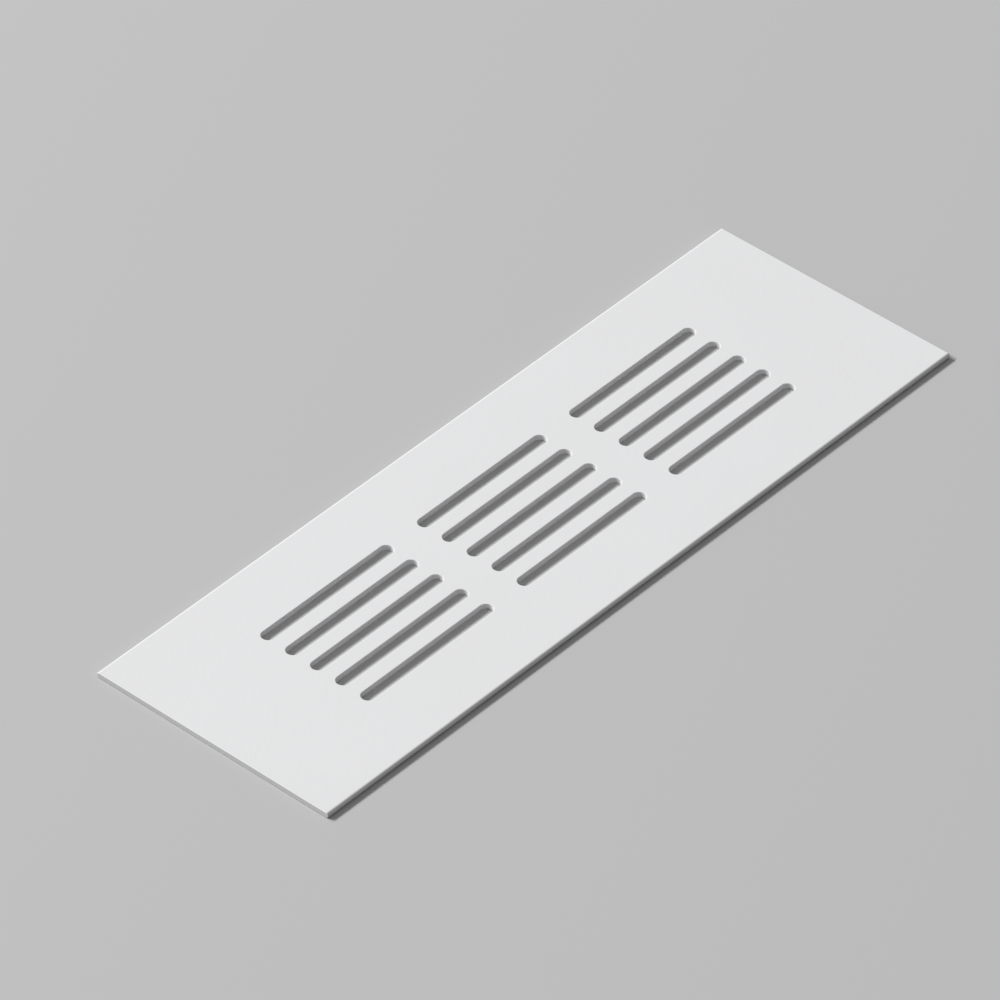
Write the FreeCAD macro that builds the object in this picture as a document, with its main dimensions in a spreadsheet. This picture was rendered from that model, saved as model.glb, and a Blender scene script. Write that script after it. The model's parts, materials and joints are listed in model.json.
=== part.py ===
import FreeCAD, Part
import math
import os
import Sketcher

# Flat ventilation grille: one strip of aluminium with full-round long edges, powder
# coated white, with three groups of five slots. Millimetres. The origin is the centre
# of the back face, +X runs along the plate, +Y across it and +Z out of its front face.

# Driving dimensions.
SIZES = {
    "plate_length": 300.0,  # overall, along X
    "plate_width": 100.0,  # overall, along Y
    "plate_thickness": 2.15,  # a 2 mm strip with its coat; its long edges are full round
    "slot_length": 60.0,  # end to end, over the round ends
    "slot_width": 4.8,  # a 5 mm slot less the coat on its two walls
    "slot_rows": 5,  # slots side by side in each group
    "slot_groups": 3,  # groups in line along the plate
    "row_web": 6.0,  # strip of metal between two rows
    "group_bridge": 13.5,  # strip of metal between two groups
    "end_edge_radius": 0.25,  # all round the two end faces
    "slot_rim_break": 0.2,  # the rim of each slot, on the front
    "back_rim_break": 0.15,  # the rim of each slot, on the back
}

# From the centre of one slot to the centre of the next.
ROW_PITCH = "(Sizes.slot_width + Sizes.row_web)"
GROUP_PITCH = "(Sizes.slot_length + Sizes.group_bridge)"

# How a sketch's constraints number its X axis, which starts at the origin, and the
# points of an edge.
X_AXIS = -1
START, END, CENTRE = 1, 2, 3

# Two places this close, in millimetres, count as one.
PLACE_TOLERANCE = 1e-6
# The share by which the metal that the slots remove may miss its worked-out volume.
VOLUME_TOLERANCE = 1e-6


def add_sizes(doc):
    """Write the driving dimensions into a spreadsheet, one named cell each."""
    sheet = doc.addObject("Spreadsheet::Sheet", "Sizes")
    for row, (alias, value) in enumerate(SIZES.items(), start=1):
        sheet.set(f"A{row}", alias.replace("_", " "))
        sheet.set(f"B{row}", str(value))
        sheet.setAlias(f"B{row}", alias)
    doc.recompute()


def add_sketch(body, name, role):
    """Start a sketch on one of the body's own planes."""
    sketch = body.newObject("Sketcher::SketchObject", name)
    plane = next(item for item in body.Origin.OriginFeatures if item.Role == role)
    sketch.AttachmentSupport = (plane, [""])
    sketch.MapMode = "FlatFace"
    return sketch


def add_dimension(sketch, name, constraint, expression):
    """Add a named dimension to a sketch and drive it from the spreadsheet."""
    index = sketch.addConstraint(constraint)
    sketch.renameConstraint(index, name)
    sketch.setExpression(f"Constraints.{name}", expression)


def draw_round_ended(sketch, length_name, width_name):
    """Draw straight sides and full-round ends, centred on the sketch's own origin."""
    radius = SIZES[width_name] / 2
    x = SIZES[length_name] / 2 - radius
    up = FreeCAD.Vector(0, 0, 1)
    quarter = math.pi / 2

    far = sketch.addGeometry(
        Part.LineSegment(FreeCAD.Vector(x, radius), FreeCAD.Vector(-x, radius))
    )
    left_circle = Part.Circle(FreeCAD.Vector(-x, 0), up, radius)
    left = sketch.addGeometry(Part.ArcOfCircle(left_circle, quarter, 3 * quarter))
    near = sketch.addGeometry(
        Part.LineSegment(FreeCAD.Vector(-x, -radius), FreeCAD.Vector(x, -radius))
    )
    right_circle = Part.Circle(FreeCAD.Vector(x, 0), up, radius)
    right = sketch.addGeometry(Part.ArcOfCircle(right_circle, -quarter, quarter))

    loop = [far, left, near, right]
    for edge, following in zip(loop, loop[1:] + loop[:1]):
        sketch.addConstraint(Sketcher.Constraint("Tangent", edge, END, following, START))
    sketch.addConstraint(Sketcher.Constraint("Equal", left, right))
    sketch.addConstraint(Sketcher.Constraint("Horizontal", near))
    sketch.addConstraint(
        Sketcher.Constraint("Symmetric", left, CENTRE, right, CENTRE, X_AXIS, START)
    )
    straight = Sketcher.Constraint("DistanceX", left, CENTRE, right, CENTRE, 2 * x)
    width = Sketcher.Constraint("Diameter", right, 2 * radius)
    straight_length = f"Sizes.{length_name} - Sizes.{width_name}"
    add_dimension(sketch, "straight_length", straight, straight_length)
    add_dimension(sketch, "width", width, f"Sizes.{width_name}")


def draw_section(body):
    """The plate's section at its -X end, standing on the height of the back face."""
    sketch = add_sketch(body, "plate_section", "YZ_Plane")
    draw_round_ended(sketch, "plate_width", "plate_thickness")
    place = "AttachmentOffset.Base"
    sketch.setExpression(f"{place}.y", "Sizes.plate_thickness / 2")
    sketch.setExpression(f"{place}.z", "-Sizes.plate_length / 2")
    return sketch


def draw_slot(body):
    """One slot, at the pattern's first place, on the front face."""
    sketch = add_sketch(body, "slot_outline", "XY_Plane")
    draw_round_ended(sketch, "slot_length", "slot_width")
    place = "AttachmentOffset.Base"
    sketch.setExpression(f"{place}.x", f"-(Sizes.slot_groups - 1) * {GROUP_PITCH} / 2")
    sketch.setExpression(f"{place}.y", f"-(Sizes.slot_rows - 1) * {ROW_PITCH} / 2")
    sketch.setExpression(f"{place}.z", "Sizes.plate_thickness")
    return sketch


def pad_plate(body):
    """The strip, cut to length, before anything is cut from it."""
    plate = body.newObject("PartDesign::Pad", "plate")
    plate.Profile = draw_section(body)
    plate.setExpression("Length", "Sizes.plate_length")
    body.Tip = plate
    return plate


def pierce_slots(body):
    """Cut one slot through the plate and repeat it in rows and groups."""
    sketch = draw_slot(body)
    slot = body.newObject("PartDesign::Pocket", "slot")
    slot.Profile = sketch
    slot.Type = "ThroughAll"

    field = body.newObject("PartDesign::LinearPattern", "slot_field")
    field.Originals = [slot]
    field.Direction = (sketch, ["H_Axis"])
    field.Mode = "Spacing"
    field.setExpression("Offset", GROUP_PITCH)
    field.setExpression("Occurrences", "Sizes.slot_groups")
    field.Direction2 = (sketch, ["V_Axis"])
    field.Mode2 = "Spacing"
    # No row has a spacing of its own: the list starts with a zero otherwise.
    field.Spacings2 = []
    field.setExpression("Offset2", ROW_PITCH)
    field.setExpression("Occurrences2", "Sizes.slot_rows")
    body.Tip = field
    return field


def edge_names(shape, chosen):
    """Names of the shape's edges that are among the chosen ones."""
    return [
        f"Edge{number}"
        for number, edge in enumerate(shape.Edges, start=1)
        if any(edge.isSame(other) for other in chosen)
    ]


def face_at(shape, height):
    """The plate's level face at this height."""
    return next(
        face
        for face in shape.Faces
        if abs(face.BoundBox.ZMin - height) < PLACE_TOLERANCE
        and abs(face.BoundBox.ZMax - height) < PLACE_TOLERANCE
    )


def end_edges(shape):
    """The edges round the plate's two end faces."""
    reach = SIZES["plate_length"] / 2 - PLACE_TOLERANCE
    return [
        edge
        for edge in shape.Edges
        if edge.BoundBox.XMin > reach or edge.BoundBox.XMax < -reach
    ]


def slot_edges(face):
    """The edges of the holes in a face."""
    outline = face.OuterWire
    return [edge for wire in face.Wires if not wire.isSame(outline) for edge in wire.Edges]


def soften(body, kind, name, size, expression, chosen):
    """Round or bevel the chosen edges of the body as it stands."""
    base = body.Tip
    feature = body.newObject(kind, name)
    feature.Base = (base, edge_names(base.Shape, chosen))
    feature.setExpression(size, expression)
    body.Tip = feature
    body.Document.recompute()
    return feature


def build_plate(doc):
    """The one piece of the grille, as a body of its own."""
    body = doc.addObject("PartDesign::Body", "grille_plate")
    body.Label = "grille_plate"

    pad_plate(body)
    doc.recompute()
    blank_volume = body.Tip.Shape.Volume

    pierce_slots(body)
    doc.recompute()
    check_slots(blank_volume - body.Tip.Shape.Volume)

    rims = slot_edges(face_at(body.Tip.Shape, SIZES["plate_thickness"]))
    soften(body, "PartDesign::Chamfer", "slot_rims", "Size", "Sizes.slot_rim_break", rims)
    rims = slot_edges(face_at(body.Tip.Shape, 0))
    soften(body, "PartDesign::Chamfer", "back_rims", "Size", "Sizes.back_rim_break", rims)
    ends = end_edges(body.Tip.Shape)
    soften(body, "PartDesign::Fillet", "ends", "Radius", "Sizes.end_edge_radius", ends)
    return body


def check_slots(removed):
    """Compare the metal that the slots removed with what they should."""
    width = SIZES["slot_width"]
    straight = SIZES["slot_length"] - width
    slot_area = straight * width + math.pi * width**2 / 4
    count = SIZES["slot_groups"] * SIZES["slot_rows"]
    expected = count * slot_area * SIZES["plate_thickness"]
    if abs(removed - expected) > VOLUME_TOLERANCE * expected:
        raise RuntimeError(f"the slots removed {removed:.3f} mm3, not {expected:.3f} mm3")


def check_document(doc):
    """Stop at an object that failed without saying so."""
    for item in doc.Objects:
        if {"Invalid", "Error"} & set(item.State):
            raise RuntimeError(f"{item.Label} failed: {item.State}")
        if item.isDerivedFrom("Sketcher::SketchObject") and not item.FullyConstrained:
            raise RuntimeError(f"{item.Label} isn't fully constrained")


def export_piece(body):
    """Write a finished body to the file that bears its name."""
    shape = body.Shape
    if shape.isNull() or not shape.isValid():
        raise RuntimeError(f"{body.Label} has no valid shape")
    os.makedirs("parts", exist_ok=True)
    shape.exportStep(os.path.join("parts", f"{body.Label}.step"))
    print(f"{body.Label}: {shape.Volume / 1000:.3f} cm3, {len(shape.Faces)} faces")


def main():
    doc = FreeCAD.newDocument("ventilation_grille")
    add_sizes(doc)
    grille_plate = build_plate(doc)
    check_document(doc)
    export_piece(grille_plate)


main()
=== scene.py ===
import json
import math

import bmesh
import bpy
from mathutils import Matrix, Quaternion, Vector


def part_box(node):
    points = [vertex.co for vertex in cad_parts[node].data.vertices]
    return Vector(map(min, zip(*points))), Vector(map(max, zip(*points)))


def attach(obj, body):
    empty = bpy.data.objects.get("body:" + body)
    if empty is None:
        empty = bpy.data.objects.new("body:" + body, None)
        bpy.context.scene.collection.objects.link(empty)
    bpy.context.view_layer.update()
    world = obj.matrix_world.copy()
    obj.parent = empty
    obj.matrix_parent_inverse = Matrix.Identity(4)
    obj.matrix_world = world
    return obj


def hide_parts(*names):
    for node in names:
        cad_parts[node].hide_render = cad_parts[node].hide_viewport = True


# The looks of a flat ventilation grille: a thin white powder-coated plate with slots.
# Everything is in metres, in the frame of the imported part: the plate's back face lies
# at height 0, +X runs along its slots and +Z out of its front face.

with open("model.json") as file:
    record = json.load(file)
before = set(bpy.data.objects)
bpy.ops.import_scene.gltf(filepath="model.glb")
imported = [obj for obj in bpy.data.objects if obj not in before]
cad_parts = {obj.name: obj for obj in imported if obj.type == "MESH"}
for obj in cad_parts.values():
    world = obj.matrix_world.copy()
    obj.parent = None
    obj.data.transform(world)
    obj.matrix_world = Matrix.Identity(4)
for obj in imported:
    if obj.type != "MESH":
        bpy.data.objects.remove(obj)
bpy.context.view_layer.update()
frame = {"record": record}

MM = 0.001
QUARTER_TURN = math.pi / 2
ALONG = Vector((1, 0, 0))
UP = Vector((0, 0, 1))

# The plate and its slots. Its overall size and the slots' places come from the frame.
SLOT_RADIUS = 2.4 * MM
END_EDGE_RADIUS = 0.25 * MM
SLOT_RIM_RADIUS = 0.25 * MM
BACK_RIM_RADIUS = 0.15 * MM

# The steps in a half circle of a long edge or a slot's end, and in a rim's quarter circle.
LONG_EDGE_STEPS = 28
SLOT_END_STEPS = 28
RIM_STEPS = 5

# The powder coat. Colours are linear light, and a pattern's scale is in cells to the metre.
COAT_LIGHT = (0.800, 0.803, 0.812, 1.0)
COAT_DARK = (0.776, 0.777, 0.784, 1.0)
COAT_SPECULAR = 0.3
COAT_ROUGHNESS = {"To Min": 0.64, "To Max": 0.76}
DRIFT = {"Scale": 18.0, "Detail": 2.0}
SPECKS = {"Scale": 1900.0, "Detail": 2.0}
SPECK_SHARE = 0.35
ORANGE_PEEL = {"Scale": 520.0, "Detail": 1.5}
GRAIN = {"Scale": 2600.0, "Detail": 1.0}
GRAIN_SHARE = 0.50
TEXTURE_DEPTH = 0.03 * MM

# The floor. It passes a hair above the plate's back, because in one plane with it the
# back renders black from below.
FLOOR_SIZE = 24.0
FLOOR_HEIGHT = 0.01 * MM
FLOOR_PALE = (0.53, 0.53, 0.53, 1.0)
FLOOR_BOUNCE = (0.12, 0.12, 0.12, 1.0)
FLOOR_ROUGHNESS = 0.9
FLOOR_SPECULAR = 0.1

# The key light stands where it hardly reaches what the camera sees inside the slots.
KEY_AZIMUTH = math.radians(-158.0)
KEY_ELEVATION = math.radians(36.0)
KEY_DISTANCE = 8.0
KEY_WIDTH = 5.2
KEY_HEIGHT = 0.8
KEY_POWER = 785.0
WORLD_COLOUR = (1.0, 1.0, 1.0, 1.0)
WORLD_STRENGTH = 0.29

# The camera, from a fit to the photograph's outline and slots.
LENS = 315.31
SENSOR = 36.0
CAMERA_AZIMUTH = math.radians(-47.48)
CAMERA_ELEVATION = math.radians(40.46)
CAMERA_ROLL = math.radians(-0.57)
CAMERA_DISTANCE = 2.827
AIM = Vector((-3.4 * MM, 10.9 * MM, 2.15 * MM))


def arc(start, end, steps):
    """The cosine and sine at each step of an arc."""
    for step in range(steps + 1):
        angle = start + (end - start) * step / steps
        yield math.cos(angle), math.sin(angle)


def round_ends(first, last, steps):
    """A shape with full-round ends, as (place along it, cosine, sine) of its ends' arcs."""
    for place, middle in ((last, 0), (first, math.pi)):
        for cosine, sine in arc(middle - QUARTER_TURN, middle + QUARTER_TURN, steps):
            yield place, cosine, sine


def slot_loop(low, high):
    """A slot, whose straight stretch is as long as its opening's box, seen from the front."""
    y = (low[1] + high[1]) / 2
    return [
        (Vector((x, y, 0)), Vector((along, across, 0)))
        for x, along, across in round_ends(low[0], high[0], SLOT_END_STEPS)
    ]


def section_loop(low, high):
    """The plate's section at its -X end, whose long edges are full round."""
    radius = (high.z - low.z) / 2
    return [
        (Vector((low.x, y, low.z + radius)), Vector((0, outward, upward)))
        for y, outward, upward in round_ends(low.y + radius, high.y - radius, LONG_EDGE_STEPS)
    ]


def edge_profile(length, first_radius, last_radius):
    """A wall with a rounded rim at each end: (inset, distance, outward, along) rows."""
    rims = (
        (first_radius, first_radius, arc(-QUARTER_TURN, 0, RIM_STEPS)),
        (last_radius, length - last_radius, arc(0, QUARTER_TURN, RIM_STEPS)),
    )
    return [
        (radius * (1 - outward), centre + radius * along, outward, along)
        for radius, centre, points in rims
        for outward, along in points
    ]


def add_wall(mesh, normals, loop, radius, profile, axis, side):
    """Sweep a wall's profile round a loop, and list its vertices' normals in their order.

    side is 1 where the wall faces outwards, round the plate, and -1 round a slot, where it
    faces inwards and the corners of its faces are taken backwards.
    """
    rings = []
    for inset, distance, outward, along in profile:
        ring = []
        for centre, away in loop:
            place = centre + away * (radius - side * inset) + axis * distance
            ring.append(mesh.verts.new(place))
            normals.append(away * (side * outward) + axis * along)
        rings.append(ring)
    for lower, upper in zip(rings, rings[1:]):
        for here in range(len(loop)):
            there = (here + 1) % len(loop)
            corners = [lower[here], lower[there], upper[there], upper[here]]
            mesh.faces.new(corners[::side])
    return rings


def add_strip(mesh, normals, low, high):
    """The strip with its ends closed. Returns the outlines of its back and front, left open."""
    profile = edge_profile(high.x - low.x, END_EDGE_RADIUS, END_EDGE_RADIUS)
    radius = (high.z - low.z) / 2
    rings = add_wall(mesh, normals, section_loop(low, high), radius, profile, ALONG, 1)
    mesh.faces.new(rings[0][::-1])
    mesh.faces.new(rings[-1])
    # Between its rims the strip is straight. Its back joins the section's last point to its
    # first, and its front joins the two points halfway, where one arc ends and one starts.
    left, right = rings[RIM_STEPS], rings[RIM_STEPS + 1]
    outlines = []
    for here, there in ((-1, 0), (LONG_EDGE_STEPS, LONG_EDGE_STEPS + 1)):
        outline = [left[here], left[there], right[there], right[here]]
        mesh.faces.remove(mesh.faces.get(outline))
        outlines.append(outline)
    return outlines


def fill_face(mesh, rings, facing):
    """Close the plate's back or front between its outline and its slots."""
    edges = []
    for ring in rings:
        for start, end in zip(ring, ring[1:] + ring[:1]):
            edges.append(mesh.edges.get((start, end)) or mesh.edges.new((start, end)))
    made = bmesh.ops.triangle_fill(mesh, use_beauty=True, edges=edges, normal=facing)
    for face in made["geom"]:
        if isinstance(face, bmesh.types.BMFace) and face.normal.dot(facing) < 0:
            face.normal_flip()


def add_mesh_object(mesh, normals, material):
    """Turn the finished mesh into an object, with these normals for its smooth shading."""
    data = bpy.data.meshes.new("coated_plate")
    mesh.to_mesh(data)
    mesh.free()
    data.shade_smooth()
    data.normals_split_custom_set_from_vertices([normal.normalized() for normal in normals])
    data.materials.append(material)
    plate = bpy.data.objects.new("coated_plate", data)
    bpy.context.scene.collection.objects.link(plate)
    return plate


def build_plate(material):
    """The coated plate, whose end edges and slot rims are rounded as the coat leaves them."""
    low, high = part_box("grille_plate")
    mesh = bmesh.new()
    normals = []
    back, front = ([outline] for outline in add_strip(mesh, normals, low, high))
    profile = edge_profile(high.z - low.z, BACK_RIM_RADIUS, SLOT_RIM_RADIUS)
    for opening in frame["record"]["physics"]["openings"]:
        loop = slot_loop(*opening["box_m"])
        rings = add_wall(mesh, normals, loop, SLOT_RADIUS, profile, UP, -1)
        back.append(rings[0])
        front.append(rings[-1])
    fill_face(mesh, back, -UP)
    fill_face(mesh, front, UP)
    return add_mesh_object(mesh, normals, material)


def start_material(name):
    """A new material, its node tree and its shader."""
    material = bpy.data.materials.new(name)
    material.use_nodes = True
    return material, material.node_tree, material.node_tree.nodes["Principled BSDF"]


def add_node(tree, kind, values):
    """A shader node with these values on its own sockets."""
    node = tree.nodes.new(kind)
    for socket, value in values.items():
        node.inputs[socket].default_value = value
    return node


def add_noise(tree, place, values):
    """A noise pattern, laid out by the plate's own coordinates."""
    noise = add_node(tree, "ShaderNodeTexNoise", values)
    tree.links.new(place, noise.inputs["Vector"])
    return noise.outputs["Fac"]


def add_share(tree, pattern, finer, share):
    """A pattern with a share of a finer one added to it."""
    both = tree.nodes.new("ShaderNodeMath")
    both.operation = "MULTIPLY_ADD"
    tree.links.new(finer, both.inputs[0])
    both.inputs[1].default_value = share
    tree.links.new(pattern, both.inputs[2])
    return both.outputs["Value"]


def mix_colours(tree, factor, at_zero, at_one):
    """A colour between two, chosen by a factor."""
    mix = tree.nodes.new("ShaderNodeMix")
    mix.data_type = "RGBA"
    mix.inputs["A"].default_value = at_zero
    mix.inputs["B"].default_value = at_one
    tree.links.new(factor, mix.inputs["Factor"])
    return mix.outputs["Result"]


def powder_coat():
    """Satin white powder coat: fine orange peel, faint specks and a faint drift of tone."""
    material, tree, shader = start_material("white_powder_coat")
    shader.inputs["Specular IOR Level"].default_value = COAT_SPECULAR
    place = tree.nodes.new("ShaderNodeTexCoord").outputs["Object"]

    specks = add_noise(tree, place, SPECKS)
    tone = add_share(tree, add_noise(tree, place, DRIFT), specks, SPECK_SHARE)
    colour = mix_colours(tree, tone, COAT_DARK, COAT_LIGHT)
    tree.links.new(colour, shader.inputs["Base Color"])

    peel = add_noise(tree, place, ORANGE_PEEL)
    height = add_share(tree, peel, add_noise(tree, place, GRAIN), GRAIN_SHARE)
    bump = add_node(tree, "ShaderNodeBump", {"Distance": TEXTURE_DEPTH})
    tree.links.new(height, bump.inputs["Height"])
    tree.links.new(bump.outputs["Normal"], shader.inputs["Normal"])

    roughness = add_node(tree, "ShaderNodeMapRange", COAT_ROUGHNESS)
    tree.links.new(peel, roughness.inputs["Value"])
    tree.links.new(roughness.outputs["Result"], shader.inputs["Roughness"])
    return material


def floor_material():
    """Plain and pale to the camera and in gloss, but throwing little light on the plate."""
    material, tree, shader = start_material("floor")
    shader.inputs["Roughness"].default_value = FLOOR_ROUGHNESS
    shader.inputs["Specular IOR Level"].default_value = FLOOR_SPECULAR
    path = tree.nodes.new("ShaderNodeLightPath")
    seen = path.outputs["Is Camera Ray"]
    for kind in ("Is Glossy Ray", "Is Transmission Ray"):
        either = tree.nodes.new("ShaderNodeMath")
        either.operation = "MAXIMUM"
        tree.links.new(seen, either.inputs[0])
        tree.links.new(path.outputs[kind], either.inputs[1])
        seen = either.outputs["Value"]
    colour = mix_colours(tree, seen, FLOOR_BOUNCE, FLOOR_PALE)
    tree.links.new(colour, shader.inputs["Base Color"])
    return material


def build_floor():
    """A plain pale floor under the plate."""
    data = bpy.data.meshes.new("floor")
    half = FLOOR_SIZE / 2
    corners = [(-half, -half, 0), (half, -half, 0), (half, half, 0), (-half, half, 0)]
    data.from_pydata(corners, [], [(0, 1, 2, 3)])
    data.materials.append(floor_material())
    floor = bpy.data.objects.new("floor", data)
    floor.location.z = FLOOR_HEIGHT
    bpy.context.scene.collection.objects.link(floor)


def direction(azimuth, elevation):
    """The way from the plate to what stands at these angles; azimuth 0 is its -Y side."""
    level = math.cos(elevation)
    return Vector(
        (math.sin(azimuth) * level, -math.cos(azimuth) * level, math.sin(elevation))
    )


def add_key_light():
    """A wide soft light to the left of the plate and behind it, seen from the camera."""
    light = bpy.data.lights.new("key", "AREA")
    light.shape = "RECTANGLE"
    light.size = KEY_WIDTH
    light.size_y = KEY_HEIGHT
    light.energy = KEY_POWER
    key = bpy.data.objects.new("key", light)
    away = direction(KEY_AZIMUTH, KEY_ELEVATION)
    key.location = away * KEY_DISTANCE
    key.rotation_euler = (-away).to_track_quat("-Z", "Y").to_euler()
    bpy.context.scene.collection.objects.link(key)


def add_world():
    """An even white light from all round."""
    world = bpy.data.worlds.new("studio")
    world.use_nodes = True
    background = world.node_tree.nodes["Background"]
    background.inputs["Color"].default_value = WORLD_COLOUR
    background.inputs["Strength"].default_value = WORLD_STRENGTH
    bpy.context.scene.world = world


def add_camera():
    """The camera at the photograph's angle."""
    data = bpy.data.cameras.new("camera")
    data.lens = LENS
    data.sensor_width = SENSOR
    data.clip_end = FLOOR_SIZE
    camera = bpy.data.objects.new("camera", data)
    back = direction(CAMERA_AZIMUTH, CAMERA_ELEVATION)
    turn = (-back).to_track_quat("-Z", "Y") @ Quaternion((0, 0, 1), CAMERA_ROLL)
    camera.location = AIM + back * CAMERA_DISTANCE
    camera.rotation_mode = "QUATERNION"
    camera.rotation_quaternion = turn
    bpy.context.scene.collection.objects.link(camera)
    bpy.context.scene.camera = camera


plate = build_plate(powder_coat())
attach(plate, "root")
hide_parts("grille_plate")
build_floor()
add_key_light()
add_world()
add_camera()
bpy.context.scene.view_settings.view_transform = "Standard"
